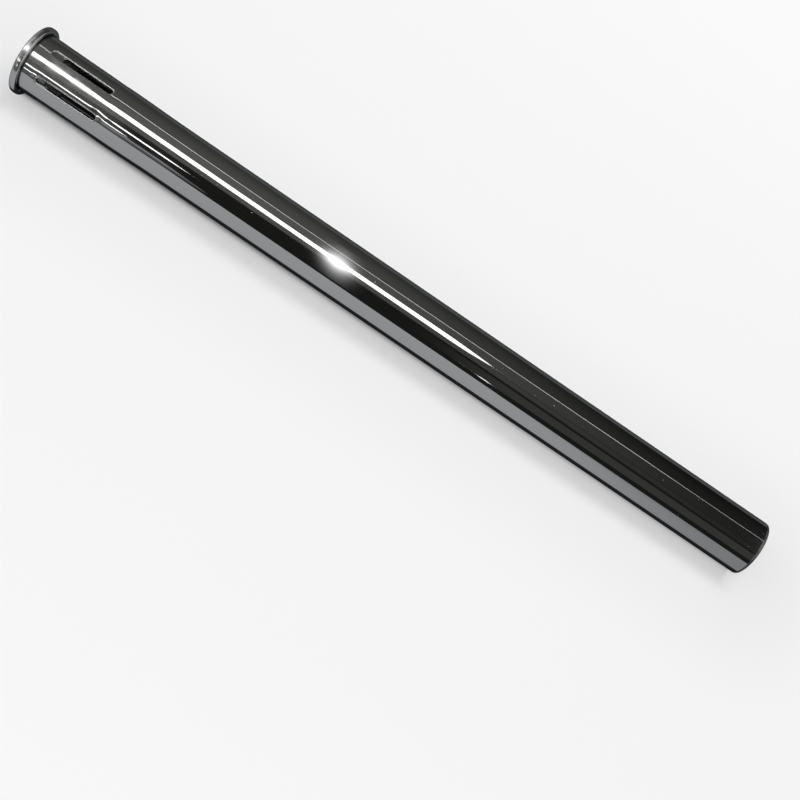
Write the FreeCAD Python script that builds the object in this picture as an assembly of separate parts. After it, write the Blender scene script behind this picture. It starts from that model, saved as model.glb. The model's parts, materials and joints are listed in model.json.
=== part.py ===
import FreeCAD, Part
import math
import os

# A straight chromed tube that lengthens a suction pipe, made as one piece of thin sheet.
# It is built along X with the rolled flange at x = 0, and laid down on the ground at the end.
# All sizes are in millimetres.

# Tube
TUBE_LENGTH = 500.0
TUBE_DIAMETER = 35.0
WALL = 0.9

# Socket behind the flange: a straight mouth, then a slight taper, then a long cone down to the tube
MOUTH_WIDENING = 1.0
SOCKET_TAPER = 0.3
MOUTH_LENGTH = 12.0
RUNOUT_LENGTH = 12.0
CONE_LENGTH = 26.0

# Rolled flange: the sheet curls outwards and back, and stops this far from the tube
# The hidden inside of the curl is drawn in straight steps
CURL_DIAMETER = 4.2
CURL_GAP = 1.0
CURL_INSIDE_STEPS = 4

# Rounded outer corner of the plain end, its drop as a share of the wall
END_ROUND_LENGTH = 3.0
END_ROUND_SHARE = 0.55

# Spring grips: slots whose edges are pressed inwards to hold the plug
SLOT_COUNT = 6
SLOT_WIDTH = 3.4
SLOT_LENGTH = 32.0
RAMP_LENGTH = 6.7
RAMP_STEP = 0.25
GRIP_REACH = 1.3
SHOULDER_RADIUS = 1.0
CREST_RADIUS = 0.4
GRIP_MARGIN = 0.3
GRIP_RUNOUT = 3.0

# Radii that follow from the sizes above
tube_r = TUBE_DIAMETER / 2
bore_r = tube_r - WALL
mouth_r = tube_r + MOUTH_WIDENING / 2
mouth_bore_r = mouth_r - WALL
neck_r = mouth_r - SOCKET_TAPER / 2
neck_bore_r = neck_r - WALL
grip_r = mouth_bore_r - GRIP_REACH
ramp_r = grip_r + WALL
curl_r = CURL_DIAMETER / 2
curl_inner_r = curl_r - WALL
curl_centre_r = mouth_bore_r + curl_r
end_r = tube_r - WALL * END_ROUND_SHARE

# Stations along the axis, in order from the flange
ramp_start = MOUTH_LENGTH + GRIP_MARGIN + SHOULDER_RADIUS
slot_start = ramp_start + RAMP_LENGTH
slot_end = slot_start + SLOT_LENGTH
socket_end = slot_end + RUNOUT_LENGTH
cone_end = socket_end + CONE_LENGTH
round_start = TUBE_LENGTH - END_ROUND_LENGTH
pad_start = ramp_start - WALL
pad_end = slot_end + WALL
pad_width = SLOT_WIDTH + 2 * WALL

ORIGIN = FreeCAD.Vector(0, 0, 0)
X_AXIS = FreeCAD.Vector(1, 0, 0)
Y_AXIS = FreeCAD.Vector(0, 1, 0)


def point(x, r):
    """Returns a point of the lengthwise section, at distance r from the axis."""
    return FreeCAD.Vector(x, 0, r)


def on_curl(radius, degrees):
    """Returns a point on a circle about the middle of the rolled flange."""
    angle = math.radians(degrees)
    return point(curl_r + radius * math.cos(angle), curl_centre_r + radius * math.sin(angle))


def line(a, b):
    """Returns a straight edge."""
    return Part.makeLine(a, b)


def arc(a, middle, b):
    """Returns a circular edge through three points."""
    return Part.Arc(a, middle, b).toShape()


def polygon(points):
    """Returns the edges of a closed section with straight sides."""
    return [line(a, b) for a, b in zip(points, points[1:] + points[:1])]


def revolved(edges):
    """Turns a closed section about the axis. The seam comes half-way between two slots."""
    face = Part.Face(Part.Wire(edges))
    face.rotate(ORIGIN, X_AXIS, 180.0 / SLOT_COUNT)
    return face.revolve(ORIGIN, X_AXIS, 360)


def obround(start, end, width, low, high):
    """Returns an upright bar with round ends, lying over the axis from start to end."""
    r = width / 2
    a = FreeCAD.Vector(start + r, -r, low)
    b = FreeCAD.Vector(end - r, -r, low)
    c = FreeCAD.Vector(end - r, r, low)
    d = FreeCAD.Vector(start + r, r, low)
    right = arc(b, FreeCAD.Vector(end, 0, low), c)
    left = arc(d, FreeCAD.Vector(start, 0, low), a)
    face = Part.Face(Part.Wire([line(a, b), right, line(c, d), left]))
    return face.extrude(FreeCAD.Vector(0, 0, high - low))


def around(shape):
    """Returns one copy of a shape for each slot, spaced evenly about the axis."""
    copies = []
    for number in range(SLOT_COUNT):
        turned = shape.copy()
        turned.rotate(ORIGIN, X_AXIS, 360.0 * number / SLOT_COUNT)
        copies.append(turned)
    return copies


def edges_between(shape, low, high):
    """Returns the edges in the zone of the grips that stay between two distances from the axis."""
    found = []
    for edge in shape.Edges:
        box = edge.BoundBox
        if box.XMin > MOUTH_LENGTH and box.XMax < socket_end - 1:
            span = edge.LastParameter - edge.FirstParameter
            spots = [edge.valueAt(edge.FirstParameter + span * k / 4) for k in range(5)]
            heights = [math.hypot(spot.y, spot.z) for spot in spots]
            if min(heights) > low and max(heights) < high:
                found.append(edge)
    return found


# Sheet section: bore, rolled flange, socket, cone, tube and rounded end
curl_stop = -math.degrees(math.asin((curl_inner_r - CURL_GAP) / curl_r))
curl_step = (270 - curl_stop) / CURL_INSIDE_STEPS
curl_edge = on_curl(curl_r, curl_stop)
curl_inside = [on_curl(curl_inner_r, curl_stop + curl_step * k) for k in range(CURL_INSIDE_STEPS)]
curl_inside.append(point(curl_r, mouth_r))
end_drop = tube_r - end_r
round_radius = (END_ROUND_LENGTH ** 2 + end_drop ** 2) / (2 * end_drop)
round_half = math.asin(END_ROUND_LENGTH / round_radius) / 2
round_centre_r = tube_r - round_radius
round_middle = point(round_start + round_radius * math.sin(round_half),
                     round_centre_r + round_radius * math.cos(round_half))
sheet = revolved([
    line(point(TUBE_LENGTH, bore_r), point(cone_end, bore_r)),
    line(point(cone_end, bore_r), point(socket_end, neck_bore_r)),
    line(point(socket_end, neck_bore_r), point(MOUTH_LENGTH, mouth_bore_r)),
    line(point(MOUTH_LENGTH, mouth_bore_r), point(curl_r, mouth_bore_r)),
    arc(point(curl_r, mouth_bore_r), on_curl(curl_r, 180), on_curl(curl_r, 90)),
    arc(on_curl(curl_r, 90), on_curl(curl_r, 40), curl_edge),
    line(curl_edge, curl_inside[0]),
    *[line(a, b) for a, b in zip(curl_inside, curl_inside[1:])],
    line(point(curl_r, mouth_r), point(MOUTH_LENGTH, mouth_r)),
    line(point(MOUTH_LENGTH, mouth_r), point(socket_end, neck_r)),
    line(point(socket_end, neck_r), point(cone_end, tube_r)),
    line(point(cone_end, tube_r), point(round_start, tube_r)),
    arc(point(round_start, tube_r), round_middle, point(TUBE_LENGTH, end_r)),
    line(point(TUBE_LENGTH, end_r), point(TUBE_LENGTH, bore_r)),
])

# Pressed-in edge of one slot: a pad on the inside, with a ramp at each end and a rounded crest
pad_low = math.sqrt(grip_r ** 2 - (pad_width / 2) ** 2)
pad_bar = obround(pad_start, pad_end, pad_width, pad_low, mouth_r - WALL / 2)
pad_bar = pad_bar.makeFillet(CREST_RADIUS, [edge for edge in pad_bar.Edges if edge.BoundBox.ZMax < pad_low + 0.01])
inside_pad = revolved(polygon([
    point(pad_start - 1, 0),
    point(pad_start - 1, mouth_bore_r),
    point(pad_start, mouth_bore_r),
    point(slot_start, grip_r),
    point(slot_end - GRIP_RUNOUT, grip_r),
    point(pad_end, neck_bore_r),
    point(pad_end + 1, neck_bore_r),
    point(pad_end + 1, 0),
]))
pad = pad_bar.cut(inside_pad)

# Solid ramp that leads into one slot from the flange side, as thick as the sheet
ramp_bar = obround(pad_start, slot_end, SLOT_WIDTH + WALL, 0, mouth_r)
ramp_section = revolved(polygon([
    point(pad_start, mouth_bore_r),
    point(pad_start, mouth_r - RAMP_STEP),
    point(slot_start + SLOT_WIDTH / 2, ramp_r),
    point(slot_start + SLOT_WIDTH / 2, grip_r),
    point(slot_start, grip_r),
]))
slot_hole = obround(slot_start, slot_end, SLOT_WIDTH, 0, mouth_r + WALL)
ramp = ramp_bar.common(ramp_section).cut(slot_hole)

# Pads added, slots cut through sheet and pads, shoulders rounded, ramps set back in
slot_bar = obround(ramp_start, slot_end, SLOT_WIDTH, 0, mouth_r + WALL)
body = sheet.fuse(around(pad)).cut(around(slot_bar))
shoulders = edges_between(body, neck_r - 0.1, mouth_r + 0.1)
body = body.makeFillet(SHOULDER_RADIUS, shoulders)
body = body.fuse(around(ramp)).removeSplitter()

# Resting position: flange and plain end touch the ground together, so the tube leans a little
across = round_start - curl_r
drop = curl_centre_r - round_centre_r
rest_tilt = math.atan2(drop, across) - math.asin((round_radius - curl_r) / math.hypot(across, drop))
body.rotate(ORIGIN, Y_AXIS, math.degrees(rest_tilt))
ground = -curl_r * math.sin(rest_tilt) - curl_centre_r * math.cos(rest_tilt) - curl_r
left = curl_r * math.cos(rest_tilt) - curl_centre_r * math.sin(rest_tilt) - curl_r
right = TUBE_LENGTH * math.cos(rest_tilt) + end_r * math.sin(rest_tilt)
body.translate(FreeCAD.Vector(-(left + right) / 2, 0, -ground))

os.makedirs("parts", exist_ok=True)
body.exportStep("parts/wand_tube.step")
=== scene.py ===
"""Looks of a chromed vacuum extension wand, lying on a pale floor.

One class builds the wand's mesh from named sizes and dresses it in polished chrome. The others set up the
floor, the light cards, the dark tent with its pale ends, the lamp and the camera. Sizes of the wand and of
the camera are in millimetres and all others in metres, unless a name says otherwise. Fields that hold
angles are in degrees.
"""

import json
import logging
import math
from dataclasses import dataclass, field
from enum import Enum
from typing import Any, Sequence, Union

import bmesh
import bpy
import numpy as np
from bpy.types import Material, Object
from mathutils import Matrix, Vector

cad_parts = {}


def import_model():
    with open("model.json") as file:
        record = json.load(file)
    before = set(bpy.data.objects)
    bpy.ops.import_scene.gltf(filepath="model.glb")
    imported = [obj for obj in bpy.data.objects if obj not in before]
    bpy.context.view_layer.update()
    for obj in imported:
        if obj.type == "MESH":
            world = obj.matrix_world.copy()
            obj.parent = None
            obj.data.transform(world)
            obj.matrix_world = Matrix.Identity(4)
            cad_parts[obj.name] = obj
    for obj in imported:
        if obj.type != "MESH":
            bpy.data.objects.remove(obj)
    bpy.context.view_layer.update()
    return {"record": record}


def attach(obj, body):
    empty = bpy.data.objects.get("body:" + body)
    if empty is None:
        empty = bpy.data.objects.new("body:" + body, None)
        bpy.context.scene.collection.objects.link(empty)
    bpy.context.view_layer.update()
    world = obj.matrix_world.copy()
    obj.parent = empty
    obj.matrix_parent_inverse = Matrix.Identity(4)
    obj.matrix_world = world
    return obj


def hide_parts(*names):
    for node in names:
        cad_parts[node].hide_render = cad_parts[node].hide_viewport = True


LOG = logging.getLogger("wand")
MM = 0.001
MERGE_M = 2e-6
SLIVER_M = 1e-7
CLOSE_MM = 1e-6
AXIS_HEIGHT_M = 0.02
BLACK = (0.0, 0.0, 0.0)

Array = np.ndarray
Operand = Union["Value", int, float]
Colour = tuple[float, float, float]
Point = tuple[float, float, float]
Pair = tuple[float, float]
Band = tuple[float, float, float]
Form = tuple[list[Point], list[tuple[int, ...]]]


# Shader nodes


class Value:
    """A node socket that takes part in Python arithmetic; each operation adds a Math node."""

    def __init__(self, graph: "Graph", socket: bpy.types.NodeSocket) -> None:
        """Wraps an output socket of a node in a graph's tree."""
        self.graph = graph
        self.socket = socket

    def _math(self, operation: str, *operands: Operand) -> "Value":
        """Adds a Math node whose inputs are the operands in order, and returns its result."""
        return self.graph.node("ShaderNodeMath", {"operation": operation}, dict(enumerate(operands)))

    def __add__(self, other: Operand) -> "Value":
        """Adds."""
        return self._math("ADD", self, other)

    def __radd__(self, other: Operand) -> "Value":
        """Adds, number first."""
        return self._math("ADD", other, self)

    def __sub__(self, other: Operand) -> "Value":
        """Subtracts."""
        return self._math("SUBTRACT", self, other)

    def __rsub__(self, other: Operand) -> "Value":
        """Subtracts from a number."""
        return self._math("SUBTRACT", other, self)

    def __mul__(self, other: Operand) -> "Value":
        """Multiplies."""
        return self._math("MULTIPLY", self, other)

    def __rmul__(self, other: Operand) -> "Value":
        """Multiplies, number first."""
        return self._math("MULTIPLY", other, self)

    def __truediv__(self, other: Operand) -> "Value":
        """Divides."""
        return self._math("DIVIDE", self, other)

    def __pow__(self, other: Operand) -> "Value":
        """Raises to a power."""
        return self._math("POWER", self, other)

    def larger(self, other: Operand) -> "Value":
        """Returns the larger of two values."""
        return self._math("MAXIMUM", self, other)

    def size(self) -> "Value":
        """Returns the value without its sign."""
        return self._math("ABSOLUTE", self)

    def fading(self) -> "Value":
        """Returns e to the power of minus the value."""
        return self._math("EXPONENT", self * -1.0)

    def angle_from(self, other: "Value") -> "Value":
        """Returns the angle, in radians, whose sine and cosine are as this value and another."""
        return self._math("ARCTAN2", self, other)

    def toward(self, goal: Operand, share: Operand) -> "Value":
        """Returns the value moved a share of the way towards another."""
        return self + (goal - self) * share

    def sibling(self, output: Union[int, str]) -> "Value":
        """Returns another output of the same node, by number or name."""
        return Value(self.graph, self.socket.node.outputs[output])

    def ramp(self, low: float, high: float) -> "Value":
        """Rises smoothly from 0 at one value to 1 at another.

        Args:
            low: The value that gives 0.
            high: The value that gives 1; it may be the smaller of the two.

        Returns:
            The smoothed value between 0 and 1.
        """
        if low < high:
            inputs = {0: self, 1: low, 2: high, 3: 0.0, 4: 1.0}
        else:
            inputs = {0: self, 1: high, 2: low, 3: 1.0, 4: 0.0}
        return self.graph.node("ShaderNodeMapRange", {"interpolation_type": "SMOOTHSTEP"}, inputs)

    def band(self, low: float, high: float, soft: float) -> "Value":
        """Returns 1 between two values, with soft edges of the given width outside them."""
        return self.ramp(low - soft, low) * self.ramp(high + soft, high)


class Graph:
    """Builds one node tree."""

    def __init__(self, tree: bpy.types.NodeTree) -> None:
        """Empties the node tree of a material or of the world, and keeps it."""
        self.tree = tree
        tree.nodes.clear()

    def node(self, kind: str, settings: dict[str, Any], inputs: dict[Union[int, str], Any],
             output: Union[int, str] = 0) -> Value:
        """Adds a node.

        Args:
            kind: The node's type.
            settings: Properties of the node, set before its sockets.
            inputs: Values or links of its sockets, by number or name.
            output: The output socket to return, by number or name.

        Returns:
            The wrapped output socket, or the node's first input where it has no output.
        """
        made = self.tree.nodes.new(kind)
        for name, setting in settings.items():
            setattr(made, name, setting)
        for name, value in inputs.items():
            if isinstance(value, Value):
                self.tree.links.new(value.socket, made.inputs[name])
            else:
                made.inputs[name].default_value = value
        return Value(self, made.outputs[output] if len(made.outputs) else made.inputs[0])

    def parts(self, vector: Value) -> tuple[Value, Value, Value]:
        """Returns a vector's x, y and z."""
        x = self.node("ShaderNodeSeparateXYZ", {}, {0: vector})
        return x, x.sibling(1), x.sibling(2)

    def position(self) -> tuple[Value, Value, Value]:
        """Returns x, y and z of the shaded place in the row's frame."""
        return self.parts(self.node("ShaderNodeNewGeometry", {}, {}, "Position"))

    def seen_ray(self) -> Value:
        """Returns 1 for rays that show a surface: from the camera, off metal or through glass."""
        camera = self.node("ShaderNodeLightPath", {}, {}, "Is Camera Ray")
        return camera.larger(camera.sibling("Is Glossy Ray")).larger(camera.sibling("Is Transmission Ray"))

    def noise(self, place: Value, scale: float, detail: float, along: float) -> Value:
        """Adds smooth noise.

        Args:
            place: Where to look it up.
            scale: Its fineness per metre.
            detail: How many finer layers it has.
            along: Its fineness along x as a share of the scale, less than 1 where it is drawn out.

        Returns:
            The noise, between 0 and 1.
        """
        drawn_out = self.node("ShaderNodeMapping", {}, {"Vector": place, "Scale": (along, 1.0, 1.0)})
        inputs = {"Vector": drawn_out, "Scale": scale, "Detail": detail}
        return self.node("ShaderNodeTexNoise", {}, inputs, "Fac")

    def mix_colour(self, factor: Value, first: Union[Value, Colour], second: Union[Value, Colour]) -> Value:
        """Mixes two colours.

        Args:
            factor: The share of the second colour, between 0 and 1.
            first: A colour, or a node's.
            second: Another.

        Returns:
            The mixed colour.
        """
        ends = [end if isinstance(end, Value) else opaque(end) for end in (first, second)]
        return self.node("ShaderNodeMix", {"data_type": "RGBA"}, {0: factor, 6: ends[0], 7: ends[1]}, 2)

    def glow(self, colour: Any, strength: float = 1.0) -> Value:
        """Returns an even light of a colour, at a strength where 1 shows the colour as it is."""
        return self.node("ShaderNodeEmission", {}, {"Color": colour, "Strength": strength})

    def tinted_glow(self, tone: Value, tint: Colour) -> Value:
        """Returns the light of a tint that is dimmed by a tone between 0 and 1."""
        return self.glow(self.mix_colour(tone, BLACK, tint))

    def surface(self, shader: Value) -> None:
        """Makes a shader the material's surface."""
        self.node("ShaderNodeOutputMaterial", {}, {"Surface": shader})


def opaque(colour: Colour) -> tuple[float, float, float, float]:
    """Returns a colour with full alpha."""
    return (*colour, 1.0)


def degrees_round(y: Value, z: Value) -> Value:
    """Returns the angle about the x axis, in degrees from the near horizon over the top."""
    return z.angle_from(y * -1.0) * (180.0 / math.pi)


def new_material(name: str) -> tuple[Material, Graph]:
    """Makes an empty node material.

    Args:
        name: The material's name.

    Returns:
        The material, and the builder of its nodes.
    """
    made = bpy.data.materials.new(name)
    made.use_nodes = True
    return made, Graph(made.node_tree)


def add_object(name: str, data: bpy.types.ID) -> Object:
    """Adds an object to the scene.

    Args:
        name: The object's name.
        data: Its mesh, light or camera.

    Returns:
        The object.
    """
    made = bpy.data.objects.new(name, data)
    bpy.context.scene.collection.objects.link(made)
    return made


# Finishes


@dataclass(frozen=True)
class ChromeFinish:
    """Polished chrome plate, with a dull steel inside and a duller rounded plain end, both painted darker as
    shade.

    A zone is a place along x where a change starts and one where it is complete, and levels are the same for
    the values of a noise. The cloud, for the smudges, and the lines, specks and wave are noises, given by
    their fineness per metre, detail and share of the fineness along x.
    """

    colour: Colour = (0.50, 0.503, 0.502)
    edge_tint: Colour = (0.55, 0.55, 0.56)
    roughness: float = 0.035
    coat: float = 0.08
    coat_roughness: float = 0.3
    bead_roughness: float = 0.145
    bead_zone: Pair = (-0.2453, -0.2462)
    # The rounded rim at the plain end is duller, and its darker colour is painted shade.
    tip_shade_colour: Colour = (0.12, 0.12, 0.12)
    tip_roughness: float = 0.32
    tip_zone: Pair = (0.2482, 0.2488)
    # The inside's colour is painted shade: near black at the flange end and lighter grey towards the plain
    # end. Only its roughness is the dull steel's.
    inside_shade_colour: Colour = (0.055, 0.055, 0.055)
    inside_far_shade_colour: Colour = (0.26, 0.26, 0.25)
    inside_shade_zone: Pair = (-0.12, 0.10)
    steel_roughness: float = 0.45
    smudge_colour: Colour = (0.54, 0.54, 0.53)
    smudge_roughness: float = 0.30
    smudge_paleness: float = 0.6
    smudge_levels: Pair = (0.60, 0.78)
    smudge_share: float = 0.15
    handled_levels: Pair = (0.28, 0.74)
    handled_share: float = 0.72
    handled_zone: Pair = (-0.188, -0.224)
    handled_band: Band = (54.0, 90.0, 6.0)
    axis_height: float = 0.0195
    cloud: Band = (190.0, 5.0, 0.45)
    lines: Band = (2600.0, 2.0, 0.06)
    line_roughness: float = 0.012
    line_height: float = 0.004
    specks: Band = (760.0, 0.0, 1.0)
    speck_levels: Pair = (0.865, 0.885)
    speck_roughness: float = 0.3
    wave: Band = (70.0, 2.0, 0.35)
    wave_height: float = 0.6
    ripple: float = 0.00002

    def smudges(self, g: Graph, place: Value) -> Value:
        """Works out how smudged the plate is: a little everywhere, and more where it is handled.

        Args:
            g: The material's node builder.
            place: The place on the wand.

        Returns:
            The smudge, between 0 and 1.
        """
        x, y, z = g.parts(place)
        cloud = g.noise(place, *self.cloud)
        angle = degrees_round(y, z - self.axis_height)
        handled = x.ramp(*self.handled_zone) * angle.band(*self.handled_band)
        everywhere = cloud.ramp(*self.smudge_levels) * self.smudge_share
        return everywhere + cloud.ramp(*self.handled_levels) * handled * self.handled_share

    def material(self) -> Material:
        """Builds the material.

        Returns:
            The node material.
        """
        made, g = new_material("polished_chrome")
        place = g.node("ShaderNodeTexCoord", {}, {}, "Object")
        inside = g.node("ShaderNodeAttribute", {"attribute_name": "inside"}, {}, "Fac")
        x = g.parts(place)[0]
        smudge = self.smudges(g, place)
        speck = g.noise(place, *self.specks).ramp(*self.speck_levels)
        lines = g.noise(place, *self.lines)
        bead = x.ramp(*self.bead_zone)
        tip = x.ramp(*self.tip_zone)
        rough = self.roughness + smudge * (self.smudge_roughness - self.roughness)
        rough = rough + lines * self.line_roughness + speck * self.speck_roughness
        rough = rough + bead * (self.bead_roughness - self.roughness)
        rough = rough.toward(self.tip_roughness, tip).toward(self.steel_roughness, inside)
        plate = g.mix_colour((smudge * self.smudge_paleness).larger(speck), self.colour, self.smudge_colour)
        # Painted shade on the plain end's rounded rim.
        plate = g.mix_colour(tip, plate, self.tip_shade_colour)
        # Painted shade inside the tube, darkest at the flange end.
        inside_shade = g.mix_colour(x.ramp(*self.inside_shade_zone), self.inside_shade_colour, self.inside_far_shade_colour)
        height = g.noise(place, *self.wave) * self.wave_height + lines * self.line_height
        bump = g.node("ShaderNodeBump", {}, {"Strength": 1.0, "Distance": self.ripple, "Height": height})
        skin = g.node("ShaderNodeBsdfPrincipled", {}, {
            "Base Color": g.mix_colour(inside, plate, inside_shade),
            "Metallic": 1.0,
            "Roughness": rough,
            "Normal": bump,
            "Specular Tint": opaque(self.edge_tint),
            "Coat Weight": self.coat,
            "Coat Roughness": self.coat_roughness,
        })
        g.surface(skin)
        return made


@dataclass(frozen=True)
class FloorFinish:
    """Matt pale floor that keeps the wand's shadow and turns into an even white away from it.

    Each fade is a distance from the wand where it starts, one where it ends, and its share of the change.
    """

    colour: Colour = (0.78, 0.78, 0.785)
    white: float = 0.96
    half_length: float = 0.25
    fades: tuple[Band, ...] = ((0.006, 0.012, 0.54), (0.012, 0.10, 0.26), (0.06, 0.5, 0.20))

    def material(self) -> Material:
        """Builds the material.

        Returns:
            The node material.
        """
        made, g = new_material("pale_floor")
        matt = g.node("ShaderNodeBsdfDiffuse", {}, {"Color": opaque(self.colour)})
        plain = g.glow((self.white, self.white, self.white, 1.0))
        x, y, _ = g.position()
        beyond = (x.size() - self.half_length).larger(0.0)
        away = (beyond * beyond + y * y) ** 0.5
        even = sum(away.ramp(start, end) * share for start, end, share in self.fades)
        both = g.node("ShaderNodeMixShader", {}, {0: even * g.seen_ray(), 1: matt, 2: plain})
        g.surface(both)
        return made


# The wand


def columns(first: Union[Array, float], second: Union[Array, float]) -> Array:
    """Returns two columns of numbers side by side, where one may be the same number all the way."""
    return np.stack(np.broadcast_arrays(first, second), axis=-1)


@dataclass
class TubeSizes:
    """Plain tube, socket and cone, and how finely they are drawn.

    The end's lip gives points on its rounded rim, as distances back from the end and in from the outside.
    """

    length: float = 500.0
    radius: float = 17.5
    wall: float = 0.9
    mouth_radius: float = 18.0
    neck_radius: float = 17.85
    mouth_end: float = 12.0
    socket_end: float = 64.0
    cone_end: float = 90.0
    cone_blend: float = 3.0
    end_round: float = 1.3
    end_drop: float = 0.30
    lip_length: float = 0.12
    lip: tuple[Pair, ...] = ((0.03, 0.05), (0.0, 0.13))
    bore_edge: float = 0.1
    cone_margin: float = 4.0
    bend_margin: float = 0.6
    cone_rings: int = 18
    tube_rings: int = 60
    bend_rings: int = 8


@dataclass
class CurlSizes:
    """Rolled flange, and how finely it is drawn."""

    radius: float = 2.1
    gap: float = 1.0
    squareness: float = 3.2
    edge_bulge: float = 0.18
    steps: int = 56
    edge_rings: int = 7
    plain_rings: int = 6


@dataclass
class GripSizes:
    """One slot with its pressed-in edges, and how finely it is drawn.

    The draw is how far the sheet around the slot is drawn in, along the slot and at its end, the apron is the
    finely drawn sheet around the shoulder, and the pad is the pressed-in edge on the inside.
    """

    count: int = 6
    half_width: float = 1.7
    ramp_start: float = 13.3
    slot_start: float = 20.0
    slot_end: float = 52.0
    ramp_step: float = 0.25
    reach: float = 1.3
    shoulder: float = 1.0
    pad_margin: float = 0.9
    pad_runout: float = 3.0
    crest: float = 0.45
    edge_round: float = 0.12
    edge_share: float = 0.3
    draw: float = 0.05
    draw_end: float = 0.16
    draw_run: float = 6.0
    draw_width: float = 1.6
    draw_end_width: float = 2.8
    draw_fade: float = 6.0
    patch_start: float = 9.0
    patch_end: float = 60.0
    arc_steps: int = 16
    ramp_steps: int = 5
    side_steps: int = 22
    apron: float = 1.9
    apron_gaps: tuple[float, ...] = (1.4, 0.95, 0.55, 0.2)
    border_rings: int = 8
    border_power: float = 0.9
    shoulder_rings: int = 8
    floor_shares: tuple[float, ...] = (0.2, 0.4, 0.6, 0.8, 1.0)
    pad_shares: tuple[float, ...] = (0.1, 0.3, 0.5, 0.7, 0.85, 0.95, 1.0)
    back_rings: int = 7


@dataclass
class Wand:
    """The whole wand: one closed mesh, in the tube's own frame with x along the axis."""

    tube: TubeSizes = field(default_factory=TubeSizes)
    curl: CurlSizes = field(default_factory=CurlSizes)
    grip: GripSizes = field(default_factory=GripSizes)
    finish: ChromeFinish = field(default_factory=ChromeFinish)
    points: list[Array] = field(default_factory=list)
    inside: list[Array] = field(default_factory=list)
    faces: list[tuple[int, int, int, int]] = field(default_factory=list)
    size: int = 0

    def outer_radius(self, x: Array) -> Array:
        """Works out the sheet's outside radius.

        Args:
            x: Places along the axis.

        Returns:
            The radius at each place.
        """
        t = self.tube
        x = np.asarray(x, dtype=float)
        neck = np.interp(x, [t.mouth_end, t.socket_end], [t.mouth_radius, t.neck_radius])
        share = (x - t.socket_end + t.cone_blend) / (t.cone_end - t.socket_end + 2.0 * t.cone_blend)
        share = np.clip(share, 0.0, 1.0)
        return neck + (t.radius - neck) * share * share * (3.0 - 2.0 * share)

    def add_grid(self, rings: Sequence[Array], turn: int) -> None:
        """Adds a strip of four-sided faces between closed rings of points.

        Args:
            rings: Rings with equal numbers of points, each an array of x, y, z.
            turn: The number of the first ring that lies on the unplated inside.
        """
        count = len(rings[0])
        start = self.size
        for number, ring in enumerate(rings):
            self.points.append(ring)
            self.inside.append(np.full(count, 1.0 if number >= turn else 0.0))
        self.size += count * len(rings)
        for row in range(len(rings) - 1):
            for k in range(count):
                a = start + row * count + k
                b = start + row * count + (k + 1) % count
                self.faces.append((a, b, b + count, a + count))

    def turned(self, x: Array, angle: Array, radius: Array) -> Array:
        """Returns points from places along the axis, angles from the top and radii."""
        x, angle, radius = np.broadcast_arrays(x, angle, radius)
        return np.stack([x, radius * np.sin(angle), radius * np.cos(angle)], axis=-1).astype(float)

    def circles(self, stations: Sequence[Pair], turn: int) -> None:
        """Adds a surface of revolution.

        Args:
            stations: Pairs of a place along the axis and a radius, in order along the surface.
            turn: The number of the first station that lies on the unplated inside.
        """
        steps = self.grip.count * self.grip.arc_steps
        angle = np.arange(steps) * 2.0 * math.pi / steps + math.pi / self.grip.count
        self.add_grid([self.turned(x, angle, r) for x, r in stations], turn)

    def bead(self, angle: float, centre: float) -> Pair:
        """Works out a point of the curl's outer skin, which rolling has pressed flatter away from the tube.

        Args:
            angle: The angle round the curl, in radians.
            centre: The radius of the curl's middle line.

        Returns:
            The place along the axis and the radius.
        """
        c = self.curl
        share_x, share_r = math.cos(angle), math.sin(angle)
        if share_r > 0.0:
            power = 2.0 / c.squareness
            share_x = math.copysign(abs(share_x) ** power, share_x)
            share_r = share_r ** power
        return c.radius + c.radius * share_x, centre + c.radius * share_r

    def build_flange(self) -> None:
        """Adds the curl and the plain stretches between it and the slots, outside and inside."""
        t, c = self.tube, self.curl
        centre = t.mouth_radius - t.wall + c.radius
        inside = c.radius - t.wall
        stop = -math.asin((inside - c.gap) / c.radius)
        sweep = np.linspace(1.5 * math.pi, stop, c.steps)
        plain = np.linspace(self.grip.patch_start, c.radius, c.plain_rings)
        skin = [(x, t.mouth_radius) for x in plain[:-1]]
        skin += [(c.radius + inside * math.cos(a), centre + inside * math.sin(a)) for a in sweep]
        middle = c.radius - t.wall / 2
        for turn in np.linspace(math.pi, 0.0, c.edge_rings)[1:-1]:
            r = middle + t.wall / 2 * math.cos(turn)
            angle = stop - c.edge_bulge * math.sin(turn) / c.radius
            skin.append((c.radius + r * math.cos(angle), centre + r * math.sin(angle)))
        skin += [self.bead(a, centre) for a in sweep[::-1]]
        outside = len(skin)
        skin += [(x, t.mouth_radius - t.wall) for x in plain[::-1][1:]]
        self.circles(skin, outside + 1)

    def build_tube(self) -> None:
        """Adds the cone, the tube and its rounded end, outside and inside."""
        t = self.tube
        tube_start = t.cone_end + t.cone_margin
        bend_start = t.length - t.end_round
        cone_run = np.linspace(self.grip.patch_end, tube_start, t.cone_rings)
        tube_run = np.linspace(tube_start, bend_start - t.bend_margin, t.tube_rings)[1:]
        long_run = np.concatenate([cone_run, tube_run, [bend_start]])
        outside = [(x, float(self.outer_radius(x))) for x in long_run]
        bend = (t.end_round ** 2 + t.end_drop ** 2) / (2 * t.end_drop)
        for share in np.linspace(0.0, 1.0, t.bend_rings)[1:]:
            along = (t.end_round - t.lip_length) * share
            outside.append((bend_start + along, t.radius - bend + math.sqrt(bend ** 2 - along ** 2)))
        rim = outside[-1][1]
        bore = t.radius - t.wall
        edge = [(t.length - back, rim - down) for back, down in t.lip]
        edge += [(t.length, bore + t.bore_edge), (t.length - t.bore_edge, bore)]
        inside = [(x, float(self.outer_radius(x)) - t.wall) for x in long_run[::-1]]
        self.circles(outside + edge + inside, len(outside) + len(edge) + 1)

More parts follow.
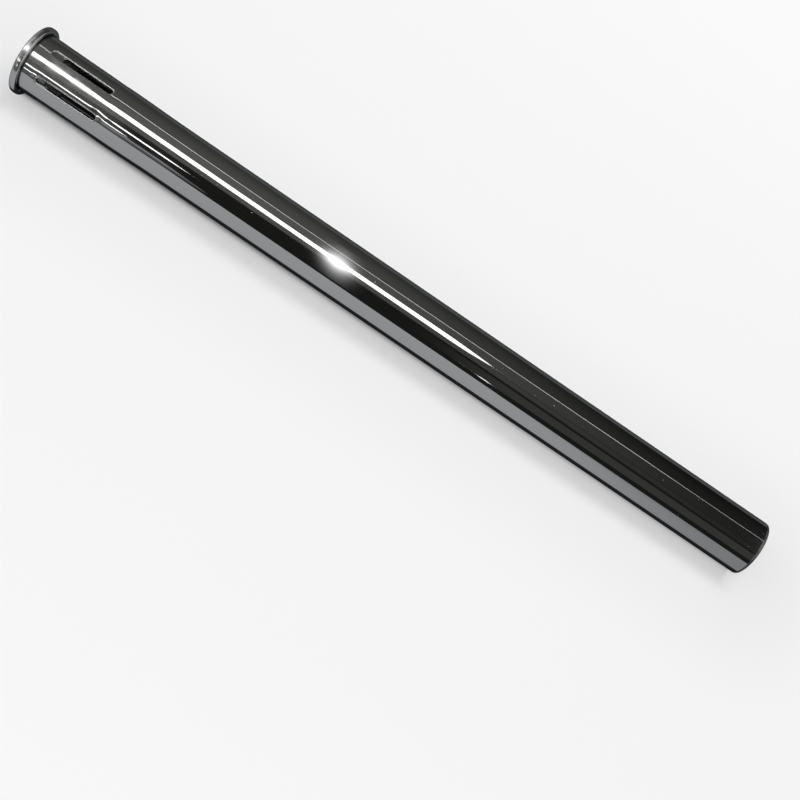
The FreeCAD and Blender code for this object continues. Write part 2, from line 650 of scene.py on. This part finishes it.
    def outline(self, start: float, end: float, half: float) -> Array:
        """Works out the round-ended outline of a slot, in the order of the patch's border.

        Args:
            start: The outline's near end along the axis.
            end: Its far end.
            half: Half its width.

        Returns:
            Points as x and y, y being the distance from the slot's middle line.
        """
        g = self.grip
        arc = np.linspace(0.0, math.pi, g.arc_steps + 1)[:-1]
        bend = g.slot_start + g.half_width
        first = np.linspace(start + half, max(bend, start + half), g.ramp_steps + 1)[:-1]
        rest = np.linspace(max(bend, start + half), end - half, g.side_steps - g.ramp_steps + 1)[:-1]
        side = np.concatenate([first, rest])
        near = columns(start + half - half * np.sin(arc), half * np.cos(arc))
        far = columns(end - half + half * np.sin(arc), -half * np.cos(arc))
        back = np.append(side, end - half)[::-1][:-1]
        return np.concatenate([near, columns(side, -half), far, columns(back, half)])

    def hole(self) -> Array:
        """Works out the through hole's outline, matched point by point to the pocket's outline.

        Returns:
            Points as x and y.
        """
        g = self.grip
        pocket = self.outline(g.ramp_start, g.slot_end, g.half_width)
        bend = g.slot_start + g.half_width
        near = pocket[:, 0] < bend - CLOSE_MM
        path = math.pi / 2 * g.half_width + (bend - g.ramp_start - g.half_width)
        out = pocket.copy()
        for k in np.nonzero(near)[0]:
            x, y = pocket[k]
            if x < g.ramp_start + g.half_width:
                run = g.half_width * math.atan2(abs(y), g.ramp_start + g.half_width - x)
            else:
                run = g.half_width * math.pi / 2 + x - g.ramp_start - g.half_width
            turn = math.pi / 2 * run / path
            out[k] = (bend - g.half_width * math.cos(turn), math.copysign(g.half_width * math.sin(turn), y))
        return out

    def border(self) -> Array:
        """Works out the patch's border, matched to the outlines.

        Returns:
            Points as x and angle.
        """
        g = self.grip
        half = math.pi / g.count
        across = np.linspace(half, -half, g.arc_steps + 1)[:-1]
        along = np.linspace(g.patch_start, g.patch_end, g.side_steps + 1)
        near, far = columns(g.patch_start, across), columns(g.patch_end, -across)
        return np.concatenate([near, columns(along[:-1], -half), far, columns(along[::-1][:-1], half)])

    def away(self, outline: Array, start: float) -> Array:
        """Works out which way leads away from a slot.

        Args:
            outline: Points of the slot's outline as x and y.
            start: Where the outline's straight sides start along the axis.

        Returns:
            The direction at each point, as x and y.
        """
        middle = np.clip(outline[:, 0], start, self.grip.slot_end - self.grip.half_width)
        out = outline - columns(middle, 0.0)
        return out / np.linalg.norm(out, axis=1)[:, None]

    def ramp_depth(self, x: Array) -> Array:
        """Returns how deep the solid ramp lies below the mouth's outside, at each place along the axis."""
        g, t = self.grip, self.tube
        return np.interp(x, [g.ramp_start - t.wall, g.slot_start + g.half_width], [g.ramp_step, g.reach])

    def draw_in(self, x: Array, distance: float) -> Array:
        """Works out how far pressing has drawn the sheet in around a slot.

        Args:
            x: Places along the axis.
            distance: Their distance from the pressed outline.

        Returns:
            Depths below the undisturbed surface.
        """
        g = self.grip
        far = np.clip((x - (g.slot_end - g.draw_run)) / g.draw_run, 0.0, 1.0)
        depth = g.draw + (g.draw_end - g.draw) * far
        width = g.draw_width + (g.draw_end_width - g.draw_width) * far
        return depth * np.exp(-(distance / width) ** 2)

    def patch(self, place: Array, depth: Union[Array, float], flat: bool = True) -> Array:
        """Works out points of a slot's patch.

        Args:
            place: Places as x and y, or as x and angle.
            depth: Depths below the sheet's outside.
            flat: Whether the second column is y rather than an angle.

        Returns:
            Points in the tube's frame, the slot facing up.
        """
        radius = self.outer_radius(place[:, 0]) - depth
        angle = np.arcsin(np.clip(place[:, 1] / radius, -1, 1)) if flat else place[:, 1]
        return self.turned(place[:, 0], angle, radius)

    def lip_share(self, hole: Array) -> Array:
        """Returns how much of the hole's upper edge is rounded: all mid-ramp, none at the ramp's sides."""
        g = self.grip
        return np.clip((g.slot_start + g.half_width - hole[:, 0]) / g.half_width, 0.0, 1.0) ** 0.5

    def outside_rings(self, border: Array, hole: Array) -> list[Array]:
        """Works out the rings from the patch's border over the slot's shoulder and down to the hole's edge.

        Args:
            border: The patch's border.
            hole: The through hole's outline.

        Returns:
            The rings.
        """
        g = self.grip
        bend = g.slot_start + g.half_width
        pocket = self.outline(g.ramp_start, g.slot_end, g.half_width)
        normal = self.away(pocket, g.ramp_start + g.half_width)
        wide = pocket + normal * (g.shoulder + g.apron)
        wide_angle = columns(wide[:, 0], np.arcsin(wide[:, 1] / self.outer_radius(wide[:, 0])))
        rings = []
        for share in np.linspace(0.0, 1.0, g.border_rings) ** g.border_power:
            place = border + (wide_angle - border) * share
            sink = self.draw_in(place[:, 0], g.apron + (1.0 - share) * g.draw_fade) * (share > 0)
            rings.append(self.patch(place, sink, flat=False))
        for gap in g.apron_gaps:
            place = pocket + normal * (g.shoulder + gap)
            rings.append(self.patch(place, self.draw_in(place[:, 0], gap)))
        floor = np.where(hole[:, 0] > bend - CLOSE_MM, g.shoulder, self.ramp_depth(pocket[:, 0]))
        floor = np.minimum(floor, g.shoulder)
        last = np.arccos(1.0 - floor / g.shoulder)
        for share in np.linspace(0.0, 1.0, g.shoulder_rings):
            turn = last * share
            place = pocket + normal * (g.shoulder * (1.0 - np.sin(turn)))[:, None]
            sink = self.draw_in(place[:, 0], 0.0) * (1.0 - share)
            rings.append(self.patch(place, g.shoulder * (1.0 - np.cos(turn)) + sink))
        start = pocket + normal * (g.shoulder * (1.0 - np.sin(last)))[:, None]
        deep = self.ramp_depth(hole[:, 0])
        lip = hole + self.away(hole, bend) * (g.edge_round * self.lip_share(hole))[:, None]
        for share in g.floor_shares:
            rings.append(self.patch(start + (lip - start) * share, floor + (deep - floor) * share))
        return rings

    def inside_rings(self, border: Array, hole: Array) -> list[Array]:
        """Works out the rings down through the hole, over the pad's crest and back to the patch's border.

        Args:
            border: The patch's border.
            hole: The through hole's outline.

        Returns:
            The rings.
        """
        g, t = self.grip, self.tube
        edge = g.edge_share * g.edge_round
        outward = self.away(hole, g.slot_start + g.half_width)
        deep = self.ramp_depth(hole[:, 0])
        bottom = g.reach + t.wall - (t.mouth_radius - self.outer_radius(hole[:, 0]))
        rings = [self.patch(hole + outward * (edge * self.lip_share(hole))[:, None], deep + edge)]
        for down in (deep + g.edge_round, deep + (bottom - deep) * 0.5, bottom - g.edge_round):
            rings.append(self.patch(hole, down))
        rings.append(self.patch(hole + outward * edge, bottom - edge))
        start, end = g.ramp_start - g.pad_margin, g.slot_end + g.pad_margin
        rim = self.outline(start, end, g.half_width + g.pad_margin)
        width = np.linalg.norm(rim - hole, axis=1)
        stations = [start, g.slot_start, g.slot_end - g.pad_runout, end]
        for share in g.pad_shares:
            place = hole + (rim - hole) * share
            rise = np.interp(place[:, 0], stations, [0.0, g.reach, g.reach, 0.0])
            inset = np.clip((1.0 - share) * width / g.crest, 0.0, 1.0)
            crest = np.sqrt(np.clip(1.0 - (1.0 - inset) ** 2, 0.0, 1.0))
            shift = (t.mouth_radius - self.outer_radius(place[:, 0])) * np.minimum(rise / g.reach, 1.0)
            rings.append(self.patch(place, t.wall + rise * crest - shift * crest))
        bore = self.outer_radius(rim[:, 0]) - t.wall
        rim_angle = columns(rim[:, 0], np.arcsin(rim[:, 1] / bore))
        for share in np.linspace(1.0, 0.0, g.back_rings)[1:]:
            rings.append(self.patch(border + (rim_angle - border) * share, t.wall, flat=False))
        return rings

    def build_slots(self) -> None:
        """Adds one patch for each slot, turned about the axis."""
        border, hole = self.border(), self.hole()
        outside = self.outside_rings(border, hole)
        rings = outside + self.inside_rings(border, hole)
        for number in range(self.grip.count):
            turn = 2.0 * math.pi * number / self.grip.count
            c, s = math.cos(turn), math.sin(turn)
            spin = np.array([[1, 0, 0], [0, c, -s], [0, s, c]])
            self.add_grid([ring @ spin.T for ring in rings], len(outside) + 1)

    def sew(self, mesh: bpy.types.Mesh) -> None:
        """Joins the strips where they meet, and turns all faces outwards.

        Args:
            mesh: The mesh of separate strips, which is changed.
        """
        work = bmesh.new()
        work.from_mesh(mesh)
        bmesh.ops.remove_doubles(work, verts=work.verts, dist=MERGE_M)
        bmesh.ops.dissolve_degenerate(work, edges=work.edges, dist=SLIVER_M)
        bmesh.ops.recalc_face_normals(work, faces=work.faces)
        loose = [e for e in work.edges if len(e.link_faces) != 2]
        LOG.info("%s: %d faces, %d open edges", mesh.name, len(work.faces), len(loose))
        work.to_mesh(mesh)
        work.free()

    def make(self, name: str, seat: Matrix) -> Object:
        """Builds the mesh object and dresses it.

        Args:
            name: The object's name.
            seat: The place of the tube's frame in the row's frame, for lengths in metres.

        Returns:
            The smooth-shaded object.
        """
        self.build_flange()
        self.build_slots()
        self.build_tube()
        mesh = bpy.data.meshes.new(name)
        mesh.from_pydata([tuple(p) for p in np.concatenate(self.points) * MM], [], self.faces)
        mesh.attributes.new("inside", "FLOAT", "POINT").data.foreach_set("value", np.concatenate(self.inside))
        mesh.transform(seat)
        self.sew(mesh)
        mesh.shade_smooth()
        mesh.materials.append(self.finish.material())
        return add_object(name, mesh)


# Surroundings


class Seen(Enum):
    """What sees an object of the stage."""

    BY_ALL = "the camera and every surface"
    BY_SURFACES = "every surface, but no camera"
    BY_MIRRORS = "polished surfaces only"


def stage_object(name: str, form: Form, material: Material, seen: Seen) -> Object:
    """Adds a mesh object of the stage.

    Args:
        name: The object's name.
        form: Its points and faces.
        material: Its material.
        seen: What sees it. What the camera doesn't see casts no shadow either.

    Returns:
        The object.
    """
    points, faces = form
    mesh = bpy.data.meshes.new(name)
    mesh.from_pydata(points, [], faces)
    mesh.materials.append(material)
    made = add_object(name, mesh)
    made.visible_camera = seen is Seen.BY_ALL
    made.visible_shadow = seen is Seen.BY_ALL
    made.visible_diffuse = seen is not Seen.BY_MIRRORS
    made.visible_transmission = seen is not Seen.BY_MIRRORS
    return made


def arch(ends: Pair, span: Pair, steps: int) -> list[list[Pair]]:
    """Returns two rows of places, at two places along x and in even steps over a span of angles."""
    turns = [span[0] + (span[1] - span[0]) * k / steps for k in range(steps + 1)]
    return [[(x, turn) for turn in turns] for x in ends]


def bent_sheet(rows: Sequence[Sequence[Pair]], radius: float, height: float = 0.0) -> Form:
    """Works out a sheet bent about a line along x.

    Args:
        rows: Rows of equally many places, each given as x and the angle from the near horizon.
        radius: The sheet's distance from the line.
        height: The line's height above the floor.

    Returns:
        Its points, one row after the other, and its faces.
    """
    points = []
    for x, angle in (place for row in rows for place in row):
        turn = math.radians(angle)
        points.append((x, -radius * math.cos(turn), radius * math.sin(turn) + height))
    row = len(rows[0])
    corners = [k for k in range(len(points) - row) if (k + 1) % row]
    return points, [(k, k + 1, row + k + 1, row + k) for k in corners]


def rectangle(half_length: float, start: float, end: float, height: float) -> Form:
    """Returns a level rectangle about x = 0, between two places along y."""
    x, z = half_length, height
    return [(-x, start, z), (x, start, z), (x, end, z), (-x, end, z)], [(0, 1, 2, 3)]


@dataclass
class Card:
    """A light card bent round the wand, with any outline.

    The outline's rows are a place along the wand from the middle of its length, and the card's lower and
    upper edge there, in degrees from the near horizon.
    """

    name: str
    strength: float
    outline: tuple[Band, ...]
    distance: float = 1.2

    def make(self) -> Object:
        """Builds the card.

        Returns:
            The card.
        """
        material, g = new_material(self.name)
        g.surface(g.glow((1.0, 1.0, 1.0, 1.0), self.strength))
        rows = [((x, high), (x, low)) for x, low, high in self.outline]
        form = bent_sheet(rows, self.distance, AXIS_HEIGHT_M)
        return stage_object(self.name, form, material, Seen.BY_SURFACES)


@dataclass
class Flare:
    """The soft glow round a small bright lamp beside the camera."""

    strength: float = 4.3
    place: float = -0.0922
    width: float = 0.0150
    angle: float = 70.0
    fade: float = 16.5
    distance: float = 1.15
    low: float = 2.0
    high: float = 142.0
    rim: float = 8.0
    rim_soft: float = 7.0
    reach: float = 0.06
    steps: int = 36

    def material(self) -> Material:
        """Builds the glow, clear where there is none.

        Returns:
            The node material.
        """
        made, g = new_material("flare")
        x, y, z = g.position()
        angle = degrees_round(y, z)
        across = (x - self.place) / self.width
        glow = ((angle - self.angle).size() / self.fade + across * across * 0.5).fading()
        rim = angle.band(self.low + self.rim, self.high - self.rim, self.rim_soft)
        clear = g.node("ShaderNodeBsdfTransparent", {}, {})
        g.surface(g.node("ShaderNodeAddShader", {}, {0: g.glow(glow * rim, self.strength), 1: clear}))
        return made

    def make(self) -> Object:
        """Builds the strip that carries the glow.

        Returns:
            The strip.
        """
        rows = arch((self.place + self.reach, self.place - self.reach), (self.low, self.high), self.steps)
        form = bent_sheet(rows, self.distance, AXIS_HEIGHT_M)
        return stage_object("flare", form, self.material(), Seen.BY_SURFACES)


@dataclass
class DarkTent:
    """Dark cloth around and above the set that glows dimly, so that the chrome has something dark to mirror.

    It has a low front, a top and a back, each with its own tone. A zone is a place along x where a change
    starts and one where it is complete, and the bands and edges are angles from the near horizon.
    """

    # The cloth's tones, its lit zones and its shaded zones are painted light and shade in its glow.
    tint: Colour = (1.0, 1.0, 0.945)
    low_tone: float = 0.016
    left_gain: float = 0.12
    left_zone: Pair = (-1.44, -2.46)
    right_gain: float = 0.045
    right_zone: Pair = (0.18, 1.20)
    right_band: Band = (17.5, 42.0, 2.5)
    glow_tone: float = 0.12
    glow_band: Band = (54.0, 66.0, 4.0)
    top_edge: Pair = (66.0, 72.0)
    top_tone: float = 0.156
    crown_gain: float = 0.018
    crown_band: Band = (76.0, 104.0, 8.0)
    shade: float = 0.93
    shade_zone: Pair = (-1.95, 3.73)
    back_edge: Pair = (104.0, 112.0)
    back_tone: float = 0.114
    back_fall: float = 0.050
    back_fall_band: Pair = (120.0, 178.0)
    back_shade: float = 0.83
    back_shade_zone: Pair = (-1.13, 2.75)
    radius: float = 7.1
    half_length: float = 11.2
    span: Pair = (-2.0, 182.0)
    steps: int = 48

    def material(self) -> Material:
        """Builds the cloth's dim, uneven glow, with its lit and shaded parts painted in.

        Returns:
            The node material.
        """
        made, g = new_material("dark_cloth_glow")
        x, y, z = g.position()
        angle = degrees_round(y, z)
        low = self.low_tone + x.ramp(*self.left_zone) * self.left_gain
        low = low + x.ramp(*self.right_zone) * angle.band(*self.right_band) * self.right_gain
        lit = 1.0 - x.ramp(*self.shade_zone) * self.shade
        glow = angle.band(*self.glow_band) * self.glow_tone * lit
        top = (self.top_tone + angle.band(*self.crown_band) * self.crown_gain) * lit
        back_lit = 1.0 - x.ramp(*self.back_shade_zone) * self.back_shade
        back = (self.back_tone - angle.ramp(*self.back_fall_band) * self.back_fall) * back_lit
        tone = (low + glow).toward(top, angle.ramp(*self.top_edge)).toward(back, angle.ramp(*self.back_edge))
        g.surface(g.tinted_glow(tone, self.tint))
        made.cycles.emission_sampling = "NONE"
        return made

    def make(self) -> Object:
        """Builds the tent, closed at both ends.

        Returns:
            The tent.
        """
        rows = arch((-self.half_length, self.half_length), self.span, self.steps)
        points, faces = bent_sheet(rows, self.radius)
        row = self.steps + 1
        faces += [tuple(range(row)), tuple(range(row, 2 * row))]
        return stage_object("dark_tent", (points, faces), self.material(), Seen.BY_SURFACES)


@dataclass
class PaleEnd:
    """Pale cloth inside one end of the tent, which only polished surfaces see.

    From the photograph's side the tube mirrors the dark cloth between the two ends; from elsewhere it mirrors
    an end, with its broad soft panels. A panel's row is the angles of its two edges and its brightness.
    """

    name: str
    side: float
    tone: float
    panels: tuple[Band, ...]
    start: float
    full: float
    end: float = 11.0
    radius: float = 7.0
    span: Pair = (0.0, 180.0)
    soft: float = 11.0
    steps: int = 48

    def material(self) -> Material:
        """Builds the cloth's soft light.

        Returns:
            The node material.
        """
        made, g = new_material(self.name)
        x, y, z = g.position()
        angle = degrees_round(y, z)
        lights = [angle.band(low, high, self.soft) * strength for low, high, strength in self.panels]
        g.surface(g.glow(sum(lights, self.tone) * x.size().ramp(self.start, self.full)))
        return made

    def make(self) -> Object:
        """Builds the cloth, closed at its outer end.

        Returns:
            The cloth.
        """
        rows = arch((self.start * self.side, self.end * self.side), self.span, self.steps)
        points, faces = bent_sheet(rows, self.radius)
        faces.append(tuple(range(self.steps + 1, len(points))))
        return stage_object(self.name, (points, faces), self.material(), Seen.BY_MIRRORS)


@dataclass
class FloorCard:
    """A glowing card flat on the floor that only polished surfaces see, a painted reflection of the floor and
    its shade, which may dim towards the plain end as painted shade.
    """

    name: str
    tone: float
    start: float
    end: float
    fade: float = 0.0
    fade_zone: Pair = (0.08, 0.28)
    tint: Colour = (0.975, 1.0, 1.03)
    half_length: float = 3.29
    height: float = 0.0004

    def make(self) -> Object:
        """Builds the card.

        Returns:
            The card.
        """
        material, g = new_material(self.name)
        # Painted shade that deepens towards the plain end.
        tone = self.tone - g.position()[0].ramp(*self.fade_zone) * self.fade
        g.surface(g.tinted_glow(tone, self.tint))
        form = rectangle(self.half_length, self.start, self.end, self.height)
        return stage_object(self.name, form, material, Seen.BY_MIRRORS)


@dataclass
class FloorLamp:
    """A soft lamp above and behind the wand that lights the floor and casts the wand's shadow."""

    place: Point = (0.25, 0.35, 1.5)
    width: float = 1.0
    depth: float = 0.5
    power: float = 16.5

    def make(self) -> Object:
        """Builds the lamp.

        Returns:
            The lamp.
        """
        data = bpy.data.lights.new("floor_lamp", "AREA")
        data.shape = "RECTANGLE"
        data.size = self.width
        data.size_y = self.depth
        data.energy = self.power
        made = add_object("floor_lamp", data)
        made.location = self.place
        made.rotation_euler = Vector(self.place).to_track_quat("Z", "Y").to_euler()
        made.visible_glossy = False
        return made


@dataclass
class Studio:
    """Floor, cards, tent, lamp and world."""

    floor: FloorFinish = field(default_factory=FloorFinish)
    floor_reach: float = 12.0
    cards: tuple[Card, ...] = (
        Card("main_card", 3.0, (
            (-2.2, 69.0, 83.6), (-0.43, 69.0, 83.6), (-0.33, 68.2, 82.2), (-0.17, 67.6, 80.9),
            (0.12, 66.9, 80.6), (0.155, 68.3, 79.0), (0.195, 74.4, 75.2))),
        Card("low_card", 3.2, (
            (-2.2, 30.8, 35.2), (-0.515, 30.8, 35.2), (-0.499, 33.2, 33.6), (-0.484, 30.8, 35.2),
            (-0.405, 31.0, 35.2), (-0.362, 33.8, 34.0))),
        Card("thin_card", 1.4, (
            (-2.2, 130.0, 131.8), (-0.65, 114.8, 117.3), (-0.37, 110.6, 112.5), (-0.17, 107.9, 109.3),
            (0.06, 107.4, 108.8), (0.35, 107.6, 109.0), (0.45, 107.8, 109.3), (0.60, 108.1, 108.9),
            (0.9, 108.6, 109.3))),
        Card("table_card_1", 3.8, (
            (-0.70, 15.4, 17.4), (-0.64, 15.4, 17.4), (-0.625, 16.4, 16.6), (-0.60, 16.2, 18.2),
            (-0.465, 16.2, 18.2), (-0.44, 17.0, 17.4))),
        Card("table_card_2", 0.3, (
            (-0.60, 5.0, 15.4), (-0.47, 5.0, 15.4), (-0.45, 8.0, 12.0))),
        Card("table_card_3", 0.5, (
            (-0.46, 10.0, 11.0), (-0.44, 9.5, 12.5), (-0.40, 9.5, 12.5), (-0.37, 10.5, 11.0))),
        Card("haze_card", 0.15, (
            (-0.95, 3.0, 14.0), (-0.85, 1.5, 15.5), (-0.42, 1.5, 15.5), (-0.34, 6.0, 10.0)), 1.25),
        Card("glint_card", 2.2, (
            (0.178, 15.5, 16.5), (0.185, 14.6, 17.4), (0.195, 14.6, 17.4), (0.203, 15.5, 16.5))),
    )
    flare: Flare = field(default_factory=Flare)
    tent: DarkTent = field(default_factory=DarkTent)
    ends: tuple[PaleEnd, ...] = (
        PaleEnd("pale_end_left", -1.0, 0.13, (
            (24.0, 52.0, 0.28), (72.0, 112.0, 0.7), (134.0, 160.0, 0.25)), 2.88, 3.10),
        PaleEnd("pale_end_right", 1.0, 0.22, (
            (24.0, 52.0, 0.55), (72.0, 112.0, 1.0), (134.0, 160.0, 0.50)), 3.02, 3.15),
    )
    # Painted reflections of the floor: a painted shadow under the wand, a lighter painted shadow behind it,
    # the far floor on both sides painted dark, and the near floor dimmed towards the plain end as painted
    # shade.
    floor_cards: tuple[FloorCard, ...] = (
        FloorCard("far_card", 0.02, -7.0, -0.80),
        FloorCard("front_card", 0.53, -0.80, -0.0243, fade=0.17),
        FloorCard("under_shadow_card", 0.03, -0.0243, 0.004),
        FloorCard("behind_shadow_card", 0.32, 0.004, 0.036),
        FloorCard("rear_card", 0.14, 0.036, 7.0),
    )
    lamp: FloorLamp = field(default_factory=FloorLamp)

    def make(self) -> None:
        """Builds everything around the wand."""
        reach = self.floor_reach
        form = rectangle(reach, -reach, reach, 0.0)
        floor = stage_object("floor", form, self.floor.material(), Seen.BY_ALL)
        LOG.info("stage: %s", floor.name)
        for piece in (*self.cards, self.flare, self.tent, *self.ends, *self.floor_cards, self.lamp):
            made = piece.make()
            LOG.info("stage: %s", made.name)
        self.build_world()

    def build_world(self) -> None:
        """Makes the world white to the eye and dark as a light."""
        world = bpy.data.worlds.new("studio")
        bpy.context.scene.world = world
        world.use_nodes = True
        g = Graph(world.node_tree)
        back = g.node("ShaderNodeBackground", {}, {"Color": g.seen_ray() * self.floor.white, "Strength": 1.0})
        g.node("ShaderNodeOutputWorld", {}, {"Surface": back})


@dataclass
class ViewPoint:
    """The photograph's viewing angle, given in the tube's own frame."""

    focal_px: float = 1184.3
    frame_px: float = 800.0
    sensor: float = 36.0
    distance: float = 684.1
    station: float = 241.2
    height_angle: float = 55.7
    lean: float = 3.289
    drop: float = 3.594
    roll: float = 34.242
    clip_start_m: float = 0.01

    def make(self, seat: Matrix) -> Object:
        """Builds the camera and makes it the scene's.

        Args:
            seat: The place of the tube's frame in the row's frame.

        Returns:
            The camera.
        """
        height, lean = math.radians(self.height_angle), math.radians(self.lean)
        drop, roll = math.radians(self.drop), math.radians(self.roll)
        along = Vector((1, 0, 0))
        out = Vector((0, -math.cos(height), math.sin(height)))
        down = Vector((0, -math.sin(height), -math.cos(height)))
        level = along * math.sin(lean) - out * math.cos(lean)
        forward = level * math.cos(drop) + down * math.sin(drop)
        right = along * math.cos(lean) + out * math.sin(lean)
        lower = down * math.cos(drop) - level * math.sin(drop)
        turned_right = right * math.cos(roll) - lower * math.sin(roll)
        turned_lower = right * math.sin(roll) + lower * math.cos(roll)
        turn = Matrix((turned_right, -turned_lower, -forward)).transposed().to_4x4()
        place = Matrix.Translation((Vector((self.station, 0, 0)) + out * self.distance) * MM)
        data = bpy.data.cameras.new("camera")
        data.sensor_width = self.sensor
        data.lens = self.sensor * self.focal_px / self.frame_px
        data.clip_start = self.clip_start_m
        made = add_object("camera", data)
        made.matrix_world = seat @ place @ turn
        bpy.context.scene.camera = made
        return made


def seat_of_tube(record: dict[str, Any], station: float) -> Matrix:
    """Finds where the tube's own frame lies in the row's frame.

    Args:
        record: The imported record.
        station: The place along the axis, in millimetres, of the mount at the middle of the tube's bore.

    Returns:
        A matrix from the tube's frame, with the flange's front at x = 0, to the row's frame.
    """
    mount = next(m for m in record["mounts"] if m["name"] == "tube_bore")
    axis = Vector(mount["axis"]).normalized()
    side = Vector((0, 1, 0))
    up = axis.cross(side).normalized()
    turn = Matrix((axis, side, up)).transposed().to_4x4()
    origin = Vector(mount["pos_m"]) - axis * (station * MM)
    return Matrix.Translation(origin) @ turn


def main() -> None:
    """Builds the scene."""
    logging.basicConfig(level=logging.INFO, format="%(name)s: %(message)s")
    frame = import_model()
    tube = TubeSizes()
    seat = seat_of_tube(frame["record"], (tube.cone_end + tube.length) / 2)
    wand = Wand(tube).make("wand", seat)
    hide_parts("wand_tube")
    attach(wand, "root")
    Studio().make()
    camera = ViewPoint().make(seat)
    LOG.info("camera: %.1f mm lens", camera.data.lens)
    bpy.context.scene.view_settings.view_transform = "Standard"


if __name__ == "__main__":
    main()
